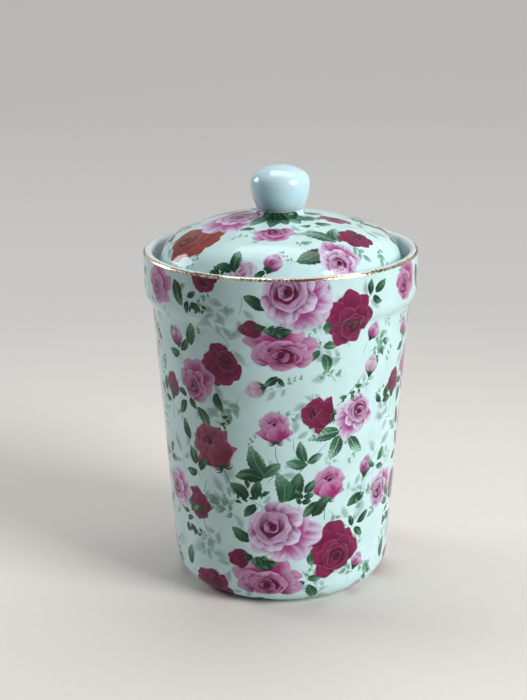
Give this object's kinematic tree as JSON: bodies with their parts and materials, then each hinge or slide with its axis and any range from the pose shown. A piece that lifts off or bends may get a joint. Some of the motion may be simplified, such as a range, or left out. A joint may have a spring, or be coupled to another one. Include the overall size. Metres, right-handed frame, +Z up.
{
  "type": "storage jar",
  "caption": "Round tapered porcelain storage jar with a stepped collar and a domed lid that sits inside it on a ledge, lifted by a round knob.",
  "frame": {"origin": "centre of the foot ring, on the table", "axes": "+Z up along the jar's axis; the pictured side faces -Y"},
  "size_m": [0.102, 0.102, 0.1582],
  "materials": {
    "jar_glaze": "glossy clear glaze over an all-over rose print on a pale mint-white ground",
    "lid_glaze": "glossy clear glaze over an all-over rose print on a pale mint-white ground",
    "knob_glaze": "plain pale blue-white gloss glaze",
    "seal": "translucent white, satin"
  },
  "bodies": {
    "jar": {"jar_body": "jar_glaze"},
    "lid": {"lid_shell": "lid_glaze", "lid_knob": "knob_glaze", "seal_ring": "seal"}
  },
  "joints": [
    {"name": "lid_lift", "type": "slide", "parent": "jar", "child": "lid", "axis": [0, 0, 1], "range_m": [0, 0.06]}
  ]
}
